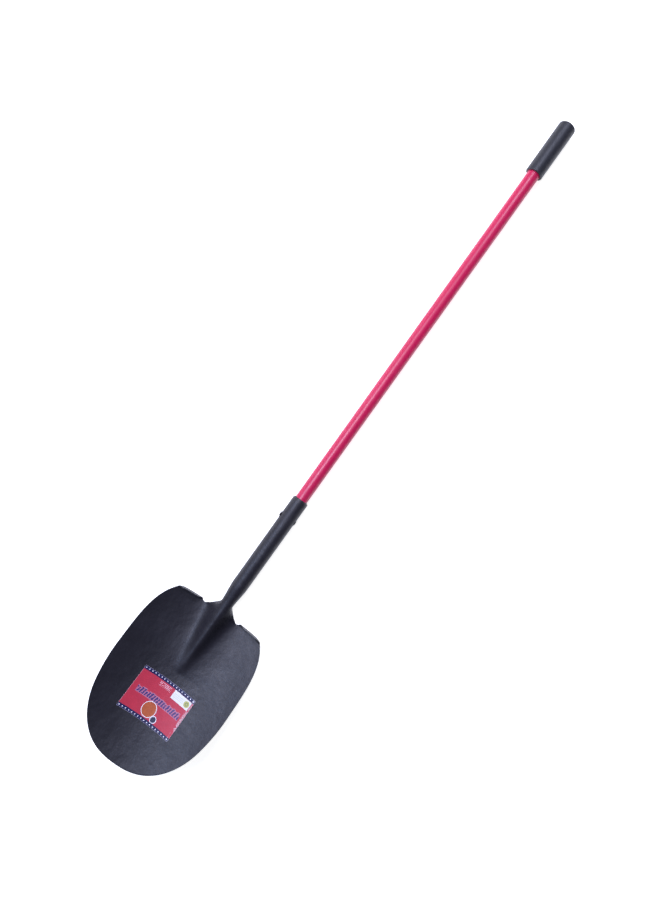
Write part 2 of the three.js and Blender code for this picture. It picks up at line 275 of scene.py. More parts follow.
def turned_piece(name, profile, material, segments=64, waviness=0.0, wave_scale=20.0, seed=3.0):
    points = placed([(along, 0, 0) for along, _ in profile]) - np.array([0, 0, AXIS_HEIGHT])
    points[:, 2] = [radius for _, radius in profile]
    edges = [(k, k + 1) for k in range(len(profile) - 1)]
    piece = mesh_object(name, points, (), edges)
    use_tree(piece, LATHE, Segments=segments, Waviness=waviness, Wave_Scale=wave_scale, Seed=seed,
             Material=material)
    piece.data.transform(Matrix.Translation((0, 0, AXIS_HEIGHT)))
    return smooth_shaded(facing_out(piece))


# ---- The pressed sheet -----------------------------------------------------------------
def smooth_step(value):
    part = np.clip(value, 0, 1)
    return part * part * (3 - 2 * part)


def mix(first, second, part):
    return first + (second - first) * part


def dish_centre(x):
    forward = HEEL_AT - x
    return HEEL_HEIGHT + DISH_SLOPE * forward + DISH_CURVE * forward ** 2


def blade_height(x, y):
    x, y = np.asarray(x, float), np.asarray(y, float)
    dish = dish_centre(x) + y * y / (2 * DISH_RADIUS)
    along = np.clip((x - FROG_END_AT) / (TOP_EDGE_AT - FROG_END_AT), 0, 1)
    crest = mix(dish_centre(FROG_END_AT), NECK_RADIUS, along)
    reach = mix(FROG_END_REACH, FROG_TOP_REACH, along ** 2)
    skirt = FROG_SKIRT * (1 - along ** 2)
    ridge = (1 - skirt) * np.exp(-(y / reach) ** 2) + skirt * np.exp(-(y / FROG_SKIRT_REACH) ** 2)
    return dish + np.where(along > 0, (crest - dish_centre(x)) * ridge, 0)


def shoulder_half_width(x):
    part = (x - WIDEST_AT) / SHOULDER_REACH
    return BLADE_HALF_WIDTH * (1 - part ** SHOULDER_POWER) ** (1 / SHOULDER_POWER)


TOP_HALF_WIDTH = shoulder_half_width(TOP_EDGE_AT)
COLUMN_PINCH = 0.6
PINCH_FROM = 0.080


def plan_points(u, v):
    """Points of the blade from above: u from the nose's edge to the top edge, v across, -1 to 1."""
    angle = np.abs(v) * np.pi / 2
    nose_y = np.sign(v) * BLADE_HALF_WIDTH * np.sin(angle) ** (2 / NOSE_POWER)
    nose_x = WIDEST_AT * (1 - np.clip(np.cos(angle), 0, 1) ** (2 / NOSE_POWER))
    side_y = shoulder_half_width(mix(WIDEST_AT, TOP_EDGE_AT, u))
    straight_y = mix(BLADE_HALF_WIDTH, TOP_HALF_WIDTH, u)
    corner = np.maximum(0, np.abs(v) - CORNER_FROM) / (1 - CORNER_FROM)
    x = mix(nose_x, TOP_EDGE_AT - CORNER_DROP * corner ** 2, u)
    y = mix(nose_y, v * TOP_HALF_WIDTH, u) + v * (side_y - straight_y)
    along = np.clip((x - PINCH_FROM) / (TOP_EDGE_AT - PINCH_FROM), 0, 1)
    pinch = COLUMN_PINCH * np.sin(np.pi * along) ** 2 * (1 - np.abs(v)) ** 2
    return x, y * (1 - pinch)


def neck_points(x, c):
    """The wings, neck and socket at a station x, for c from -1 to 1 across the sheet."""
    growth = smooth_step((x - NECK_AT) / (SOCKET_AT - NECK_AT))
    wrap = mix(NECK_WRAP, SOCKET_WRAP, growth) * c
    radius = mix(NECK_RADIUS, SOCKET_RADIUS, growth)
    tube = np.stack([np.full_like(c, x), radius * np.sin(wrap), radius * np.cos(wrap)], axis=-1)
    rest = min(1, max(0, (NECK_AT - x) / (NECK_AT - TOP_EDGE_AT)))
    wing_y = c * WING_HALF_WIDTH
    wing = np.stack([np.full_like(c, x), wing_y, blade_height(TOP_EDGE_AT, wing_y)], axis=-1)
    return mix(tube, wing, rest ** 1.3)


STEP_START_ANGLE = -math.atan(DISH_SLOPE)
STEP_BEND_LENGTH = STEP_BEND_RADIUS * (math.pi / 2 - STEP_START_ANGLE)
STEP_STRIP = STEP_BEND_LENGTH + STEP_HEIGHT - STEP_BEND_RADIUS
STEP_LEAST = 0.05


def strip_length(reach):
    inner = smooth_step((reach - STEP_FROM) / STEP_INNER_ROUND)
    outer = smooth_step((TOP_HALF_WIDTH - reach) / STEP_OUTER_ROUND)
    return STEP_STRIP * np.maximum(STEP_LEAST, inner * outer)


def step_offset(length):
    angle = STEP_START_ANGLE + np.minimum(length, STEP_BEND_LENGTH) / STEP_BEND_RADIUS
    forward = STEP_BEND_RADIUS * (np.sin(angle) - math.sin(STEP_START_ANGLE))
    up = STEP_BEND_RADIUS * (math.cos(STEP_START_ANGLE) - np.cos(angle))
    up = up + np.maximum(0, length - STEP_BEND_LENGTH)
    return np.stack([forward, np.zeros_like(forward), up], axis=-1)


NECK_COLUMNS = 36
STEP_COLUMNS = 28
NOTCH_COLUMNS = 3
BLADE_ROWS = 96
WING_ROWS = 18
NECK_ROWS = 20
SOCKET_ROWS = 24
STEP_ROWS = 14


def column_places():
    middle = np.linspace(0, WING_HALF_WIDTH, NECK_COLUMNS + 1)
    notch = np.linspace(WING_HALF_WIDTH, STEP_FROM, NOTCH_COLUMNS + 1)[1:]
    eased = 0.5 - 0.5 * np.cos(np.pi * np.linspace(0, 1, STEP_COLUMNS + 1))
    step = mix(STEP_FROM, TOP_HALF_WIDTH, eased)[1:]
    right = np.concatenate([middle, notch, step])
    return np.concatenate([-right[:0:-1], right]) / TOP_HALF_WIDTH


def pressed_sheet():
    """The middle of the sheet: blade, wings, neck and socket, with the two turned steps."""
    points, faces = [], []

    def add_row(row_points):
        first = len(points)
        points.extend(row_points)
        return np.arange(first, first + len(row_points))

    def add_strip(near, far):
        faces.extend(zip(near[:-1], far[:-1], far[1:], near[1:]))

    columns = column_places()
    row = None
    for part in np.linspace(0, 1, BLADE_ROWS + 1):
        x, y = plan_points(part, columns)
        following = add_row(np.stack([x, y, blade_height(x, y)], axis=-1))
        if row is not None:
            add_strip(row, following)
        row = following
    top_row = row
    reach = columns * TOP_HALF_WIDTH
    middle = np.abs(reach) < WING_HALF_WIDTH + 1e-6
    stations = np.concatenate([
        np.linspace(TOP_EDGE_AT, NECK_AT, WING_ROWS + 1)[1:],
        np.linspace(NECK_AT, SOCKET_AT, NECK_ROWS + 1)[1:],
        np.linspace(SOCKET_AT, SOCKET_MOUTH_AT, SOCKET_ROWS + 1)[1:]])
    row = top_row[middle]
    for x in stations:
        following = add_row(neck_points(x, reach[middle] / WING_HALF_WIDTH))
        add_strip(row, following)
        row = following
    for side in (-1, 1):
        flank = side * reach > STEP_FROM - 1e-6
        base = np.array([points[k] for k in top_row[flank]])
        length = strip_length(side * reach[flank])
        row = top_row[flank]
        for part in np.linspace(0, 1, STEP_ROWS + 1)[1:]:
            following = add_row(base + step_offset(part * length))
            add_strip(row, following)
            row = following
    return np.array(points), faces


def rim_distance(points, faces):
    """How far each point of an open sheet is from the sheet's nearest edge."""
    edges = {}
    for face in faces:
        for start, end in zip(face, (*face[1:], face[0])):
            key = (min(start, end), max(start, end))
            edges[key] = edges.get(key, 0) + 1
    rim = np.array(sorted({k for key, uses in edges.items() if uses == 1 for k in key}))
    rim_points = points[rim]
    return np.concatenate([
        np.sqrt(((chunk[:, None] - rim_points[None]) ** 2).sum(-1).min(1))
        for chunk in np.array_split(points, 40)])


def blade_piece(material):
    points, faces = pressed_sheet()
    piece = mesh_object("blade_pressing", placed(points), faces)
    rim = piece.data.attributes.new("rim", "FLOAT", "POINT")
    rim.data.foreach_set("value", rim_distance(points, faces))
    thick = piece.modifiers.new("thickness", "SOLIDIFY")
    thick.thickness = SHEET
    thick.offset = 0
    broken = piece.modifiers.new("edges", "BEVEL")
    broken.width = EDGE_ROUND
    broken.segments = 3
    broken.limit_method = "ANGLE"
    broken.angle_limit = math.radians(50)
    drilled(made_plain(piece))
    smooth_shaded(piece, 60)
    return finished(piece, material, "blade_steel", "blade_and_socket")


# ---- Stickers --------------------------------------------------------------------------
def sticker_surface(name, middle, size, lift, columns, rows):
    """An open sheet lying on the dish, with a UV map from its lower left corner."""
    across, along = np.meshgrid(np.linspace(0, 1, columns + 1), np.linspace(0, 1, rows + 1))
    forward = size[1] * (along.ravel() - 0.5)
    side = size[0] * (0.5 - across.ravel())
    x = middle[0] + forward * math.cos(LABEL_TURN) - side * math.sin(LABEL_TURN)
    y = middle[1] + forward * math.sin(LABEL_TURN) + side * math.cos(LABEL_TURN)
    step = 1e-4
    fall = (blade_height(x + step, y) - blade_height(x - step, y)) / (2 * step)
    bank = (blade_height(x, y + step) - blade_height(x, y - step)) / (2 * step)
    normal = np.stack([-fall, -bank, np.ones_like(x)], axis=-1)
    normal /= np.linalg.norm(normal, axis=1)[:, None]
    points = np.stack([x, y, blade_height(x, y)], axis=-1) + normal * lift
    width = columns + 1
    faces = [(k, k + 1, k + width + 1, k + width)
             for r in range(rows) for k in range(r * width, r * width + columns)]
    piece = mesh_object(name, placed(points), faces)
    layer = piece.data.uv_layers.new(name="print")
    flat = np.stack([across.ravel(), along.ravel()], axis=-1)
    loop_points = np.array([loop.vertex_index for loop in piece.data.loops])
    layer.data.foreach_set("uv", flat[loop_points].ravel())
    return piece


def thickened(piece, thickness):
    thick = piece.modifiers.new("thickness", "SOLIDIFY")
    thick.thickness = thickness
    thick.offset = 0
    return made_plain(piece)


def dots_tree():
    """Round dots in two rows, laid out on the sheet's UV square and wrapped on to the sheet."""
    tree, given, result = new_group("border_dots", "GeometryNodeTree", [
        ("Sheet", "NodeSocketGeometry", None),
        ("Dots In Row", "NodeSocketInt", 17),
        ("Dot Radius", "NodeSocketFloat", 0.0011),
        ("Row Inset", "NodeSocketFloat", 0.037),
        ("End Inset", "NodeSocketFloat", 0.03),
        ("Ink Height", "NodeSocketFloat", 0.0001),
        ("Sheet Width", "NodeSocketFloat", LABEL_SIZE[0]),
        ("Sheet Length", "NodeSocketFloat", LABEL_SIZE[1]),
        ("Material", "NodeSocketMaterial", None),
    ], [("Geometry", "NodeSocketGeometry")])
    span = math_node(tree, "MULTIPLY", math_node(tree, "SUBTRACT", 0.5, given["End Inset"]), 2.0)
    gap = math_node(tree, "DIVIDE", span, math_node(tree, "SUBTRACT", given["Dots In Row"], 1))
    rows = []
    for near_top in (False, True):
        height = math_node(tree, "SUBTRACT", 1.0, given["Row Inset"]) if near_top else given["Row Inset"]
        start = node(tree, "ShaderNodeCombineXYZ", {0: given["End Inset"], 1: height})
        offset = node(tree, "ShaderNodeCombineXYZ", {0: gap})
        rows.append(node(tree, "GeometryNodeMeshLine", {
            "Count": given["Dots In Row"], "Start Location": start.outputs[0],
            "Offset": offset.outputs[0]}))
    both = node(tree, "GeometryNodeJoinGeometry")
    for made in rows:
        tree.links.new(made.outputs[0], both.inputs[0])
    dot = node(tree, "GeometryNodeMeshCylinder", {
        "Vertices": 14, "Radius": given["Dot Radius"], "Depth": given["Ink Height"]})
    squeeze = node(tree, "ShaderNodeCombineXYZ", {
        0: math_node(tree, "DIVIDE", 1.0, given["Sheet Width"]),
        1: math_node(tree, "DIVIDE", 1.0, given["Sheet Length"]), 2: 1.0})
    placed_dots = node(tree, "GeometryNodeInstanceOnPoints", {
        "Points": both.outputs[0], "Instance": dot.outputs["Mesh"], "Scale": squeeze.outputs[0]})
    real = node(tree, "GeometryNodeRealizeInstances", {"Geometry": placed_dots.outputs[0]})
    spot = node(tree, "ShaderNodeSeparateXYZ", {0: node(tree, "GeometryNodeInputPosition").outputs[0]})
    flat = node(tree, "ShaderNodeCombineXYZ", {0: spot.outputs[0], 1: spot.outputs[1]})
    print_map = node(tree, "GeometryNodeInputNamedAttribute", {"Name": "print"},
                     data_type="FLOAT_VECTOR")
    sampled = []
    for field in ("GeometryNodeInputPosition", "GeometryNodeInputNormal"):
        sampled.append(node(tree, "GeometryNodeSampleUVSurface", {
            "Mesh": given["Sheet"], "Value": node(tree, field).outputs[0],
            "UV Map": print_map.outputs["Attribute"], "Sample UV": flat.outputs[0]},
            data_type="FLOAT_VECTOR"))
    raised = node(tree, "ShaderNodeVectorMath", {
        0: sampled[1].outputs[0], "Scale": spot.outputs[2]}, operation="SCALE")
    position = node(tree, "ShaderNodeVectorMath", {
        0: sampled[0].outputs[0], 1: raised.outputs[0]}, operation="ADD")
    wrapped = node(tree, "GeometryNodeSetPosition", {
        "Geometry": real.outputs[0], "Position": position.outputs[0]})
    painted = node(tree, "GeometryNodeSetMaterial", {
        "Geometry": wrapped.outputs[0], "Material": given["Material"]})
    tree.links.new(painted.outputs[0], result["Geometry"])
    return tree


# ---- Shader groups ---------------------------------------------------------------------
def grain_group():
    """Noise of a given size in metres, stretched along the axes as wanted: coarse and fine values."""
    tree, given, result = new_group("grain", "ShaderNodeTree", [
        ("Size", "NodeSocketFloat", 0.001),
        ("Stretch", "NodeSocketVector", (1, 1, 1)),
        ("Detail", "NodeSocketFloat", 3.0),
    ], [("Coarse", "NodeSocketFloat"), ("Fine", "NodeSocketFloat")])
    place = node(tree, "ShaderNodeTexCoord").outputs["Object"]
    stretched = node(tree, "ShaderNodeVectorMath", {0: place, 1: given["Stretch"]}, operation="DIVIDE")
    per_metre = math_node(tree, "DIVIDE", 1.0, given["Size"])
    scaled = node(tree, "ShaderNodeVectorMath", {
        0: stretched.outputs[0], "Scale": per_metre}, operation="SCALE")
    for name, ratio in (("Coarse", 1.0), ("Fine", 4.3)):
        noise = node(tree, "ShaderNodeTexNoise", {
            "Vector": scaled.outputs[0], "Scale": ratio, "Detail": given["Detail"], "Roughness": 0.55})
        tree.links.new(noise.outputs[0], result[name])
    return tree


def dust_group():
    """Fine dust that has settled on what faces up, in faint drifts."""
    tree, given, result = new_group("settled_dust", "ShaderNodeTree", [
        ("Amount", "NodeSocketFloat", 0.1),
        ("Drift Size", "NodeSocketFloat", 0.05),
    ], [("Mask", "NodeSocketFloat")])
    place = node(tree, "ShaderNodeTexCoord").outputs["Object"]
    drift = node(tree, "ShaderNodeTexNoise", {
        "Vector": place, "Scale": math_node(tree, "DIVIDE", 1.0, given["Drift Size"]), "Detail": 5.0,
        "Roughness": 0.65})
    specks = node(tree, "ShaderNodeTexNoise", {"Vector": place, "Scale": 900.0, "Detail": 2.0})
    up = node(tree, "ShaderNodeSeparateXYZ", {0: node(tree, "ShaderNodeNewGeometry").outputs["Normal"]})
    facing = node(tree, "ShaderNodeMapRange", {"Value": up.outputs[2], "From Min": 0.2, "From Max": 1.0})
    settled = node(tree, "ShaderNodeMapRange", {
        "Value": drift.outputs[0], "From Min": 0.42, "From Max": 0.75}, interpolation_type="SMOOTHSTEP")
    speckled = node(tree, "ShaderNodeMapRange", {
        "Value": specks.outputs[0], "From Min": 0.45, "From Max": 0.75, "To Min": 0.4, "To Max": 1.0})
    amount = math_node(tree, "MULTIPLY", facing.outputs[0], given["Amount"])
    mask = math_node(tree, "MULTIPLY", math_node(
        tree, "MULTIPLY", settled.outputs[0], speckled.outputs[0]), amount)
    tree.links.new(mask, result["Mask"])
    return tree


def scuff_group():
    """Short thin rub marks that run mostly one way, in patches."""
    tree, given, result = new_group("rub_marks", "ShaderNodeTree", [
        ("Amount", "NodeSocketFloat", 0.5),
        ("Mark Width", "NodeSocketFloat", 0.0006),
        ("Run", "NodeSocketVector", (30, 1, 1)),
        ("Turn", "NodeSocketVector", (0, 0, 0.4)),
    ], [("Mask", "NodeSocketFloat")])
    place = node(tree, "ShaderNodeTexCoord").outputs["Object"]
    turned = node(tree, "ShaderNodeMapping", {"Vector": place, "Rotation": given["Turn"]})
    run = node(tree, "ShaderNodeVectorMath", {0: turned.outputs[0], 1: given["Run"]}, operation="DIVIDE")
    per_metre = math_node(tree, "DIVIDE", 1.0, given["Mark Width"])
    fine = node(tree, "ShaderNodeTexNoise", {
        "Vector": run.outputs[0], "Scale": per_metre, "Detail": 1.0})
    marks = node(tree, "ShaderNodeMapRange", {
        "Value": fine.outputs[0], "From Min": 0.68, "From Max": 0.76})
    patches = node(tree, "ShaderNodeTexNoise", {"Vector": place, "Scale": 26.0, "Detail": 2.0})
    where = node(tree, "ShaderNodeMapRange", {
        "Value": patches.outputs[0], "From Min": 0.5, "From Max": 0.68})
    mask = math_node(tree, "MULTIPLY", math_node(tree, "MULTIPLY", marks.outputs[0], where.outputs[0]),
                     given["Amount"])
    tree.links.new(mask, result["Mask"])
    return tree


def edge_group():
    """Paint rubbed thin along a cut edge, broken up by noise."""
    tree, given, result = new_group("edge_wear", "ShaderNodeTree", [
        ("Distance", "NodeSocketFloat", 1.0),
        ("Width", "NodeSocketFloat", 0.002),
        ("Amount", "NodeSocketFloat", 0.5),
    ], [("Mask", "NodeSocketFloat")])
    place = node(tree, "ShaderNodeTexCoord").outputs["Object"]
    breaks = node(tree, "ShaderNodeTexNoise", {
        "Vector": place, "Scale": 160.0, "Detail": 4.0, "Roughness": 0.7})
    away = math_node(tree, "DIVIDE", given["Distance"], given["Width"])
    near = math_node(tree, "SUBTRACT", 1.0, away, clamp=True)
    broken = node(tree, "ShaderNodeMapRange", {
        "Value": breaks.outputs[0], "From Min": 0.4, "From Max": 0.62})
    mask = math_node(tree, "MULTIPLY", math_node(
        tree, "MULTIPLY", near, broken.outputs[0]), given["Amount"])
    tree.links.new(mask, result["Mask"])
    return tree


GRAIN = grain_group()
DUST = dust_group()
SCUFFS = scuff_group()
EDGE = edge_group()


def effect(tree, group, inputs=None):
    made = tree.nodes.new("ShaderNodeGroup")
    made.node_tree = group
    for key, value in (inputs or {}).items():
        if isinstance(value, bpy.types.NodeSocket):
            tree.links.new(value, made.inputs[key])
        else:
            made.inputs[key].default_value = value
    return made.outputs


def over(tree, under, colour, mask):
    """A colour laid over another where the mask says."""
    made = node(tree, "ShaderNodeMix", {0: mask, 6: under, 7: colour}, data_type="RGBA")
    return made.outputs[2]


def spread(tree, value, low, high):
    """A 0 to 1 value stretched between two numbers."""
    return node(tree, "ShaderNodeMapRange", {"Value": value, "To Min": low, "To Max": high}).outputs[0]


def colour(red, green, blue):
    return (red, green, blue, 1.0)


def new_material(name, **fixed):
    """A material with its Principled shader; fixed sets that shader's own sockets."""
    material = bpy.data.materials.new(name)
    material.use_nodes = True
    tree = material.node_tree
    shader = tree.nodes["Principled BSDF"]
    for key, value in fixed.items():
        shader.inputs[key.replace("_", " ")].default_value = value
    material.diffuse_color = shader.inputs["Base Color"].default_value
    return material, tree, shader


def bumped(tree, shader, height, depth, strength=1.0):
    bump = node(tree, "ShaderNodeBump", {"Height": height, "Distance": depth, "Strength": strength})
    tree.links.new(bump.outputs[0], shader.inputs["Normal"])


def summed(tree, *weighted):
    """The sum of (value, weight) pairs."""
    total = None
    for value, weight in weighted:
        part = math_node(tree, "MULTIPLY", value, weight)
        total = part if total is None else math_node(tree, "ADD", total, part)
    return total


# ---- Materials of the shovel's pieces --------------------------------------------------
def painted_steel(name, edge_amount=0.15):
    """Satin black baked paint on pressed steel: orange peel, faint mottling, dust and rubbed edges."""
    material, tree, shader = new_material(name, IOR=1.5)
    peel = effect(tree, GRAIN, {"Size": 0.0022, "Detail": 2.0})
    mottle = effect(tree, GRAIN, {"Size": 0.040, "Detail": 3.0})
    dust = effect(tree, DUST, {"Amount": 0.10, "Drift Size": 0.07})["Mask"]
    marks = effect(tree, SCUFFS, {"Amount": 0.35, "Mark Width": 0.0007})["Mask"]
    rim = node(tree, "ShaderNodeAttribute", attribute_name="rim").outputs["Fac"]
    worn = effect(tree, EDGE, {"Distance": rim, "Width": 0.0022, "Amount": edge_amount})["Mask"]
    paint = over(tree, colour(0.0065, 0.0060, 0.0095), colour(0.0115, 0.0105, 0.0170), mottle["Coarse"])
    dusty = over(tree, paint, colour(0.10, 0.10, 0.115), dust)
    rubbed = over(tree, dusty, colour(0.055, 0.057, 0.065), marks)
    edged = over(tree, rubbed, colour(0.075, 0.075, 0.080), worn)
    tree.links.new(edged, shader.inputs["Base Color"])
    rough = summed(tree, (spread(tree, mottle["Fine"], 0.45, 0.57), 1.0), (dust, 0.8), (marks, -0.15))
    tree.links.new(rough, shader.inputs["Roughness"])
    height = summed(tree, (peel["Coarse"], 0.08), (peel["Fine"], 0.03),
                    (mottle["Coarse"], 1.6), (mottle["Fine"], 0.5))
    bumped(tree, shader, height, 0.0009)
    return material


def gloss_fibreglass():
    """Crimson gel coat over pultruded fibreglass: long fibre streaks under a clear gloss."""
    material, tree, shader = new_material(
        "crimson_fibreglass", IOR=1.5, Coat_Weight=0.08, Coat_Roughness=0.28)
    fibres = effect(tree, GRAIN, {"Size": 0.0009, "Stretch": (70, 1, 1), "Detail": 3.0})
    clouds = effect(tree, GRAIN, {"Size": 0.030, "Stretch": (3, 1, 1), "Detail": 3.0})
    dust = effect(tree, DUST, {"Amount": 0.05, "Drift Size": 0.05})["Mask"]
    marks = effect(tree, SCUFFS, {
        "Amount": 0.25, "Mark Width": 0.0005, "Run": (18, 1, 1), "Turn": (0, 0, 0.15)})
    red = over(tree, colour(0.45, 0.005, 0.058), colour(0.56, 0.010, 0.085), fibres["Coarse"])
    cloudy = over(tree, red, colour(0.41, 0.004, 0.048), spread(tree, clouds["Coarse"], 0.0, 0.5))
    dusty = over(tree, cloudy, colour(0.52, 0.22, 0.27), dust)
    scuffed = over(tree, dusty, colour(0.55, 0.13, 0.20), marks["Mask"])
    tree.links.new(scuffed, shader.inputs["Base Color"])
    rough = summed(tree, (spread(tree, clouds["Fine"], 0.34, 0.46), 1.0),
                   (dust, 1.0), (marks["Mask"], 0.3))
    tree.links.new(rough, shader.inputs["Roughness"])
    bumped(tree, shader, summed(tree, (fibres["Coarse"], 1.0), (fibres["Fine"], 0.3)), 0.00003)
    return material


def grip_rubber():
    """Black dipped rubber with a fine skin and a few rubbed places."""
    material, tree, shader = new_material("grip_rubber", IOR=1.48)
    skin = effect(tree, GRAIN, {"Size": 0.0009, "Detail": 3.0})
    mottle = effect(tree, GRAIN, {"Size": 0.014, "Stretch": (2, 1, 1), "Detail": 4.0})
    dust = effect(tree, DUST, {"Amount": 0.16, "Drift Size": 0.02})["Mask"]
    marks = effect(tree, SCUFFS, {
        "Amount": 0.4, "Mark Width": 0.0006, "Run": (10, 1, 1), "Turn": (0, 0, 0.6)})
    body = over(tree, colour(0.010, 0.0105, 0.0135), colour(0.021, 0.022, 0.029), mottle["Coarse"])
    dusty = over(tree, body, colour(0.10, 0.10, 0.115), dust)
    rubbed = over(tree, dusty, colour(0.075, 0.078, 0.09), marks["Mask"])
    tree.links.new(rubbed, shader.inputs["Base Color"])
    rough = summed(tree, (spread(tree, mottle["Fine"], 0.42, 0.58), 1.0), (dust, 0.8))
    tree.links.new(rough, shader.inputs["Roughness"])
    height = summed(tree, (skin["Coarse"], 1.0), (skin["Fine"], 0.4), (mottle["Coarse"], 1.2))
    bumped(tree, shader, height, 0.00012)
    return material


def black_epoxy():
    """The sleeve's end: cast black resin with small pits."""
    material, tree, shader = new_material("black_epoxy", IOR=1.5)
    pits = effect(tree, GRAIN, {"Size": 0.0012, "Detail": 4.0})
    body = over(tree, colour(0.012, 0.012, 0.014), colour(0.030, 0.030, 0.034), pits["Coarse"])
    tree.links.new(body, shader.inputs["Base Color"])
    tree.links.new(spread(tree, pits["Fine"], 0.35, 0.6), shader.inputs["Roughness"])
    bumped(tree, shader, pits["Coarse"], 0.00015)
    return material


def plug_wood():
    """Straight-grained hardwood dowel."""
    material, tree, shader = new_material("plug_wood")
    grain = effect(tree, GRAIN, {"Size": 0.0012, "Stretch": (25, 1, 1), "Detail": 4.0})
    tint = effect(tree, GRAIN, {"Size": 0.02, "Stretch": (6, 1, 1), "Detail": 2.0})
    body = over(tree, colour(0.42, 0.24, 0.10), colour(0.58, 0.38, 0.19), grain["Coarse"])
    tinted = over(tree, body, colour(0.36, 0.20, 0.08), spread(tree, tint["Coarse"], 0.0, 0.4))
    tree.links.new(tinted, shader.inputs["Base Color"])
    tree.links.new(spread(tree, grain["Fine"], 0.55, 0.75), shader.inputs["Roughness"])
    bumped(tree, shader, grain["Coarse"], 0.0001)
    return material


# ---- Printed stickers ------------------------------------------------------------------
def between(tree, value, low, high, soft=0.0003):
    """1 where a value in metres lies between two others, with a slightly soft edge."""
    rise = node(tree, "ShaderNodeMapRange", {
        "Value": value, "From Min": low - soft, "From Max": low + soft}, interpolation_type="SMOOTHSTEP")
    fall = node(tree, "ShaderNodeMapRange", {
        "Value": value, "From Min": high - soft, "From Max": high + soft, "To Min": 1.0, "To Max": 0.0},
        interpolation_type="SMOOTHSTEP")
    return math_node(tree, "MULTIPLY", rise.outputs[0], fall.outputs[0])


def both(tree, *masks):
    total = masks[0]
    for mask in masks[1:]:
        total = math_node(tree, "MULTIPLY", total, mask)
    return total


def printed_place(tree, size):
    """Where a point of a sticker is on it, in metres across and along from its lower left corner."""
    uv = node(tree, "ShaderNodeUVMap", uv_map="print")
    parts = node(tree, "ShaderNodeSeparateXYZ", {0: uv.outputs[0]})
    return (math_node(tree, "MULTIPLY", parts.outputs[0], size[0]),
            math_node(tree, "MULTIPLY", parts.outputs[1], size[1]))


def disc_distance(tree, across, along, centre):
    place = node(tree, "ShaderNodeCombineXYZ", {
        0: math_node(tree, "SUBTRACT", across, centre[0]),
        1: math_node(tree, "SUBTRACT", along, centre[1])})
    return node(tree, "ShaderNodeVectorMath", {0: place.outputs[0]}, operation="LENGTH").outputs["Value"]


STRIP = 0.0065                  # height of the label's dark strips
NAVY = colour(0.012, 0.014, 0.070)
INK_RED = colour(0.54, 0.036, 0.066)
INK_WHITE = colour(0.82, 0.80, 0.84)
LINES_PER_METRE = 420.0         # of the small marks
BLOCKS_PER_METRE = 185.0        # in the row of blocks


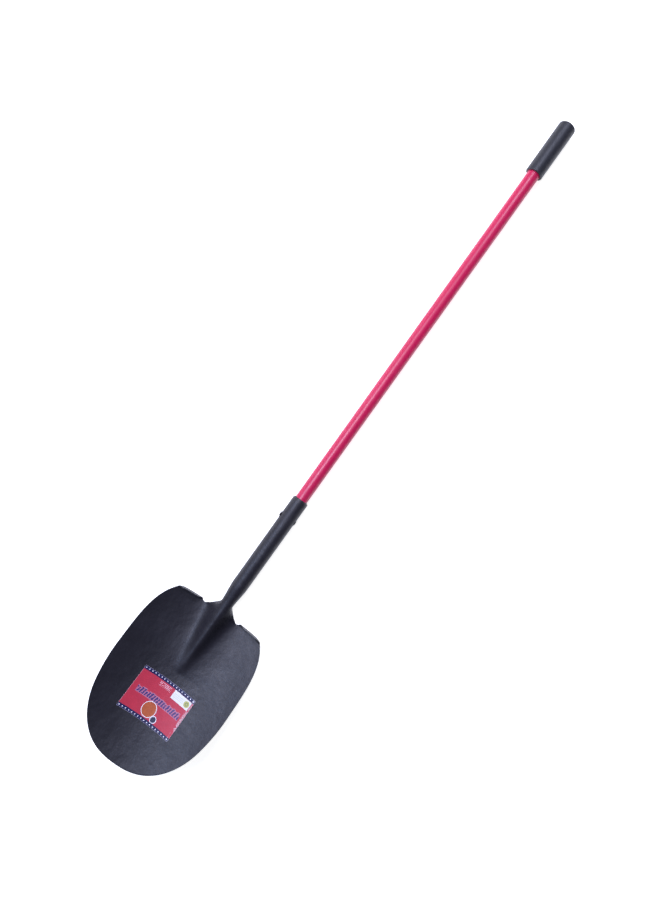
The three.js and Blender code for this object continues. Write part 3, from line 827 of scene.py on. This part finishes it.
def label_print():
    """The label: a red field between two dark strips, with plain blocks, lines and a round badge."""
    width, height = LABEL_SIZE
    material, tree, shader = new_material("label_print", IOR=1.5, Specular_IOR_Level=0.3)
    across, along = printed_place(tree, LABEL_SIZE)
    grain = effect(tree, GRAIN, {"Size": 0.0007, "Detail": 2.0})
    clouds = effect(tree, GRAIN, {"Size": 0.012, "Detail": 4.0})

    field = over(tree, INK_RED, colour(0.40, 0.028, 0.056), spread(tree, clouds["Coarse"], 0.0, 1.0))

    # Short lines of random marks, which spell nothing
    line_place = math_node(tree, "MULTIPLY", along, LINES_PER_METRE)
    lines = math_node(tree, "FRACT", line_place)
    line_seed = math_node(tree, "MULTIPLY", math_node(tree, "FLOOR", line_place), 0.37)
    words = node(tree, "ShaderNodeTexNoise", {
        "Vector": node(tree, "ShaderNodeCombineXYZ", {0: across, 1: line_seed}).outputs[0],
        "Scale": LINES_PER_METRE, "Detail": 0.0})
    written = both(tree,
                   between(tree, lines, 0.30, 0.72, 0.08),
                   between(tree, words.outputs[0], 0.40, 2.0, 0.03),
                   between(tree, across, 0.041, 0.067),
                   between(tree, along, 0.0655, 0.0735))
    field = over(tree, field, colour(0.80, 0.48, 0.55), written)

    # A row of plain leaning blocks
    leaning = math_node(tree, "ADD", across, math_node(tree, "MULTIPLY", along, -0.25))
    uneven = math_node(tree, "MULTIPLY", clouds["Fine"], 0.006)
    cell = math_node(tree, "MULTIPLY", math_node(tree, "ADD", leaning, uneven), BLOCKS_PER_METRE)
    number = math_node(tree, "FLOOR", cell)
    inside = math_node(tree, "FRACT", cell)
    random = node(tree, "ShaderNodeTexWhiteNoise", {"W": number}, noise_dimensions="1D")
    tall = math_node(tree, "ADD", 0.0450, math_node(
        tree, "MULTIPLY", random.outputs["Value"], 0.0035))
    below_top = math_node(tree, "SUBTRACT", tall, along)
    in_band = between(tree, across, 0.011, 0.108)
    white_block = both(tree, in_band, between(tree, inside, 0.02, 0.98, 0.06),
                       between(tree, along, 0.0361, 0.0490), between(tree, below_top, -0.0012, 1.0))
    block = both(tree, in_band, between(tree, inside, 0.20, 0.82, 0.06),
                 between(tree, along, 0.0372, 0.0484), between(tree, below_top, 0.0003, 1.0))
    faint = math_node(tree, "MULTIPLY", white_block, 0.60)
    field = over(tree, field, colour(0.46, 0.28, 0.42), faint)
    field = over(tree, field, colour(0.060, 0.036, 0.150), block)

    # A round badge and a small dark one beside it
    badge = disc_distance(tree, across, along, (0.054, 0.0225))
    field = over(tree, field, INK_WHITE, between(tree, badge, -1.0, 0.0145))
    mottled = over(tree, colour(0.50, 0.13, 0.040), colour(0.34, 0.060, 0.026), clouds["Coarse"])
    field = over(tree, field, mottled, between(tree, badge, -1.0, 0.0133))
    small = disc_distance(tree, across, along, (0.0715, 0.0125))
    field = over(tree, field, INK_WHITE, between(tree, small, -1.0, 0.0065))
    field = over(tree, field, colour(0.030, 0.034, 0.070), between(tree, small, -1.0, 0.0052))

    # The dark strips, and white flecks where the right edge has been rubbed
    strips = math_node(tree, "ADD", between(tree, along, -1.0, STRIP),
                       between(tree, along, height - STRIP, 1.0))
    field = over(tree, field, NAVY, strips)
    flecks = both(tree, between(tree, grain["Coarse"], 0.50, 2.0, 0.04),
                  between(tree, clouds["Coarse"], 0.46, 2.0, 0.05),
                  between(tree, across, width - 0.0045, 1.0, 0.0015))
    field = over(tree, field, colour(0.72, 0.68, 0.72), math_node(tree, "MULTIPLY", flecks, 0.8))
    paper_edge = math_node(tree, "SUBTRACT", 1.0, both(
        tree, between(tree, across, 0.0005, width - 0.0005),
        between(tree, along, 0.0004, height - 0.0004)))
    field = over(tree, field, colour(0.60, 0.56, 0.62), math_node(tree, "MULTIPLY", paper_edge, 0.45))
    tree.links.new(field, shader.inputs["Base Color"])
    tree.links.new(spread(tree, clouds["Fine"], 0.40, 0.54), shader.inputs["Roughness"])
    bumped(tree, shader, summed(tree, (grain["Coarse"], 0.5), (clouds["Coarse"], 3.0)), 0.00008)
    return material


def price_print():
    """A small white sticker with grey lines and a plain green-yellow mark."""
    width, height = PRICE_SIZE
    material, tree, shader = new_material("price_print", IOR=1.45)
    across, along = printed_place(tree, PRICE_SIZE)
    grain = effect(tree, GRAIN, {"Size": 0.0008, "Detail": 4.0})
    paper = over(tree, colour(0.80, 0.80, 0.80), colour(0.70, 0.71, 0.73), grain["Coarse"])
    lines = math_node(tree, "FRACT", math_node(tree, "MULTIPLY", along, 330.0))
    written = both(tree, between(tree, lines, 0.35, 0.70, 0.08),
                   between(tree, grain["Coarse"], 0.42, 2.0, 0.05),
                   between(tree, across, 0.003, width * 0.62),
                   between(tree, along, 0.004, height - 0.004))
    paper = over(tree, paper, colour(0.46, 0.48, 0.52), math_node(tree, "MULTIPLY", written, 0.6))
    mark = disc_distance(tree, across, along, (width * 0.82, height * 0.52))
    paper = over(tree, paper, colour(0.46, 0.45, 0.12), between(tree, mark, -1.0, 0.0058))
    paper = over(tree, paper, colour(0.20, 0.25, 0.12), between(tree, mark, 0.0018, 0.0034))
    tree.links.new(paper, shader.inputs["Base Color"])
    tree.links.new(spread(tree, grain["Fine"], 0.42, 0.58), shader.inputs["Roughness"])
    bumped(tree, shader, grain["Coarse"], 0.00006)
    return material


def dot_ink():
    """White ink of the raised dots."""
    material, tree, shader = new_material("dot_ink", IOR=1.5)
    grain = effect(tree, GRAIN, {"Size": 0.0006, "Detail": 2.0})
    ink = over(tree, INK_WHITE, colour(0.66, 0.66, 0.74), grain["Coarse"])
    tree.links.new(ink, shader.inputs["Base Color"])
    tree.links.new(spread(tree, grain["Fine"], 0.30, 0.42), shader.inputs["Roughness"])
    bumped(tree, shader, grain["Coarse"], 0.00003)
    return material


# ---- The pieces ------------------------------------------------------------------------
LABEL_LIFT = SHEET / 2 + 0.00045
DOTS_LIFT = LABEL_LIFT + 0.00018
PRICE_LIFT = SHEET / 2 + 0.00105
LABEL_THICKNESS = 0.00022
PRICE_THICKNESS = 0.00018
DOT_THICKNESS = 0.00008


def make_stickers():
    label_ink, price_ink, white_ink = label_print(), price_print(), dot_ink()
    surface = sticker_surface("border_dots", LABEL_MIDDLE, LABEL_SIZE, DOTS_LIFT, 40, 30)
    dots = use_tree(surface, dots_tree(), Material=white_ink, Ink_Height=DOT_THICKNESS)
    facing_out(dots)
    finished(dots, white_ink, "label_print")
    sheet = sticker_surface("label_sheet", LABEL_MIDDLE, LABEL_SIZE, LABEL_LIFT, 60, 44)
    label = thickened(sheet, LABEL_THICKNESS)
    finished(smooth_shaded(label), label_ink, "label_print", "blade_label")
    sheet = sticker_surface("price_sheet", PRICE_MIDDLE, PRICE_SIZE, PRICE_LIFT, 30, 14)
    price = thickened(sheet, PRICE_THICKNESS)
    finished(smooth_shaded(price), price_ink, "sticker_paper", "price_sticker")


def make_handle():
    red = gloss_fibreglass()
    start, end = HANDLE_FROM, OVERALL_LENGTH - GRIP_END_WALL - FIT
    profile = [(start, HANDLE_BORE), *line((start, HANDLE_RADIUS), (end, HANDLE_RADIUS), 260),
               *line((end, HANDLE_BORE), (start, HANDLE_BORE), 60)]
    handle = turned_piece("handle_rod", profile, red, segments=72, waviness=0.00012, wave_scale=9.0)
    finished(drilled(handle), red, "handle_fibreglass", "handle_tube")


def make_grip():
    rubber = grip_rubber()
    bottom = OVERALL_LENGTH - GRIP_END_WALL
    bore = HANDLE_RADIUS + FIT
    lip = GRIP_MOUTH_ROUND
    round_end = GRIP_END_ROUND
    profile = [
        (bottom, 0), (bottom, bore),
        *line((bottom - 0.002, bore), (GRIP_FROM + lip, bore), 20),
        *arc(GRIP_FROM + lip / 2, bore + lip / 2, lip / 2, 180, 270, 5),
        *arc(GRIP_FROM + lip, GRIP_RADIUS - lip, lip, -90, 0, 8),
        *line((GRIP_FROM + 0.003, GRIP_RADIUS), (OVERALL_LENGTH - round_end - 0.001, GRIP_RADIUS), 60),
        *arc(OVERALL_LENGTH - round_end, GRIP_RADIUS - round_end, round_end, 0, 90, 12),
        (OVERALL_LENGTH, 0.006), (OVERALL_LENGTH, 0)]
    grip = turned_piece("rubber_grip", profile, rubber, segments=80)
    finished(grip, rubber, "grip_rubber", "end_grip")


def dome(seat, steps=10):
    """A rivet's low head from its seat to its top, as (along, radius)."""
    angles = np.linspace(0, np.pi / 2, steps + 1)
    return [(seat + HEAD_HEIGHT * math.sin(angle), HEAD_RADIUS * math.cos(angle)) for angle in angles]


def across_socket(piece):
    """Moves a piece turned about the handle's axis to the rivet's place, across the socket."""
    home = Matrix.Translation((-NOSE_X, 0, -AXIS_HEIGHT))
    turn = Matrix.Translation((NOSE_X + RIVET_AT, 0, AXIS_HEIGHT)) @ Matrix.Rotation(math.pi / 2, 4, "Z")
    piece.data.transform(turn @ home)
    return piece


def drilled(piece):
    """Cuts the rivet's hole through a piece, across the handle."""
    reach, radius = 0.030, RIVET_RADIUS + FIT
    drill = across_socket(turned_piece(
        "drill", [(-reach, 0), (-reach, radius), (reach, radius), (reach, 0)], None, segments=40))
    facing_out(drill)
    hole = piece.modifiers.new("rivet_hole", "BOOLEAN")
    hole.operation = "DIFFERENCE"
    hole.solver = "EXACT"
    hole.object = drill
    made_plain(piece)
    bpy.data.objects.remove(drill)
    return piece


def make_rivet(paint):
    skin = SOCKET_RADIUS + SHEET / 2 + FIT
    burr_seat = skin + BURR + FIT
    rivet = turned_piece("rivet_body", [
        *[(-along, radius) for along, radius in reversed(dome(skin))],
        (-skin, RIVET_RADIUS), (burr_seat, RIVET_RADIUS), *dome(burr_seat)], paint, segments=40)
    finished(across_socket(rivet), paint, "rivet_steel", "socket_rivet")
    outer, inner = HEAD_RADIUS + 0.001, RIVET_RADIUS + FIT
    burr = turned_piece("rivet_washer", [
        (skin, inner), (skin, outer - BURR / 4), (skin + BURR / 4, outer), (skin + BURR * 3 / 4, outer),
        (skin + BURR, outer - BURR / 4), (skin + BURR, inner), (skin, inner)], paint, segments=40)
    finished(across_socket(burr), paint, "rivet_steel", "rivet_burr")


def make_sleeve():
    resin = black_epoxy()
    inner, end = HANDLE_RADIUS + FIT, SOCKET_MOUTH_AT + SLEEVE_SHOWS
    outer = inner + SLEEVE_THICKNESS
    sleeve = turned_piece("sleeve_ring", [
        (HANDLE_FROM, inner), (HANDLE_FROM, outer),
        *line((HANDLE_FROM + 0.002, outer), (end - 0.0004, outer), 10),
        (end - 0.0001, outer - 0.0001), (end, outer - 0.0004), (end, inner),
        (HANDLE_FROM, inner)], resin)
    finished(drilled(sleeve), resin, "sleeve_plastic", "socket_sleeve")


paint = painted_steel("satin_black_paint")
blade_piece(paint)
make_stickers()
make_handle()
make_grip()
make_sleeve()
make_rivet(painted_steel("rivet_black_paint", 0.0))
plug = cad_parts["crush_plug"]
for material_slot in plug.material_slots:
    material_slot.material = plug_wood()


# ---- Floor, light and camera -----------------------------------------------------------
def make_floor():
    far = 20
    floor = mesh_object("studio_floor", [
        (-far, -far, 0), (far, -far, 0), (far, far, 0), (-far, far, 0)], [(0, 1, 2, 3)])
    material, tree, shader = new_material("pale_floor", Roughness=0.9, Emission_Strength=0.88)
    clouds = effect(tree, GRAIN, {"Size": 0.4, "Detail": 2.0})
    tree.links.new(over(tree, colour(0.93, 0.93, 0.93), colour(0.90, 0.90, 0.90), clouds["Coarse"]),
                   shader.inputs["Base Color"])
    shader.inputs["Emission Color"].default_value = colour(1, 1, 1)
    floor.data.materials.append(material)


def area_light(name, place, target, size, power, tint=(1, 1, 1)):
    lamp = bpy.data.lights.new(name, "AREA")
    lamp.shape = "RECTANGLE"
    lamp.size, lamp.size_y = size
    lamp.energy = power
    lamp.color = tint
    made = bpy.data.objects.new(name, lamp)
    made.location = place
    made.rotation_euler = (Vector(target) - Vector(place)).to_track_quat("-Z", "Y").to_euler()
    bpy.context.scene.collection.objects.link(made)


SKY_TOP = 0.062                 # brightness straight overhead
SKY_GLOW = 0.60                 # more of it near the ground, on the left


def make_world():
    """Soft sky that is dim overhead, brighter near the ground, and brightest on the blade's left."""
    world = bpy.data.worlds.new("studio")
    world.use_nodes = True
    tree = world.node_tree
    sky_place = node(tree, "ShaderNodeTexCoord").outputs["Generated"]
    towards = node(tree, "ShaderNodeSeparateXYZ", {0: sky_place})
    low = math_node(tree, "POWER", math_node(tree, "SUBTRACT", 1.0, towards.outputs[2], clamp=True), 1.4)
    left = node(tree, "ShaderNodeMapRange", {
        "Value": towards.outputs[1], "From Min": -0.7, "From Max": 0.9, "To Min": 0.18, "To Max": 1.0})
    glow = math_node(tree, "MULTIPLY", math_node(tree, "MULTIPLY", low, left.outputs[0]), SKY_GLOW)
    background = tree.nodes["Background"]
    background.inputs[0].default_value = colour(0.82, 0.87, 1.0)
    tree.links.new(math_node(tree, "ADD", glow, SKY_TOP), background.inputs[1])
    bpy.context.scene.world = world


def make_light():
    make_world()
    area_light("key_softbox", (-0.42, 0.80, 1.60), (-0.50, 0, 0), (0.5, 0.5), 12.5, (0.38, 0.59, 1.0))
    area_light("handle_top_softbox", (0.13, 0.72, 1.60), (0.13, 0, 0), (0.9, 0.35), 26,
               (0.90, 0.84, 1.0))
    area_light("handle_side_softbox", (0.45, 2.1, 0.75), (0.30, 0, 0), (1.6, 0.30), 8, (0.95, 0.95, 1.0))
    area_light("grip_softbox", (1.50, 0.45, 1.60), (0.64, 0, 0), (0.4, 0.4), 24, (0.72, 0.77, 1.0))
    bpy.context.scene.view_settings.view_transform = "Standard"


CAMERA_LENS = 26.0
CAMERA_HEIGHT = 1.2415          # above the handle's axis
CAMERA_AT = 0.6912              # along the handle, from the nose
CAMERA_ASIDE = 0.0105
HANDLE_LEAN = math.radians(35.545)


def make_camera():
    """Straight above the shovel, turned so that the handle leans to the right."""
    lens = bpy.data.cameras.new("camera")
    lens.lens = CAMERA_LENS
    lens.sensor_width = 36
    lens.clip_start, lens.clip_end = 0.01, 50
    camera = bpy.data.objects.new("camera", lens)
    right = Vector((math.sin(HANDLE_LEAN), -math.cos(HANDLE_LEAN), 0))
    up = Vector((math.cos(HANDLE_LEAN), math.sin(HANDLE_LEAN), 0))
    turn = Matrix((right, up, right.cross(up))).transposed().to_4x4()
    place = (NOSE_X + CAMERA_AT, CAMERA_ASIDE, AXIS_HEIGHT + CAMERA_HEIGHT)
    camera.matrix_world = Matrix.Translation(place) @ turn
    bpy.context.scene.collection.objects.link(camera)
    bpy.context.scene.camera = camera


make_floor()
make_light()
make_camera()
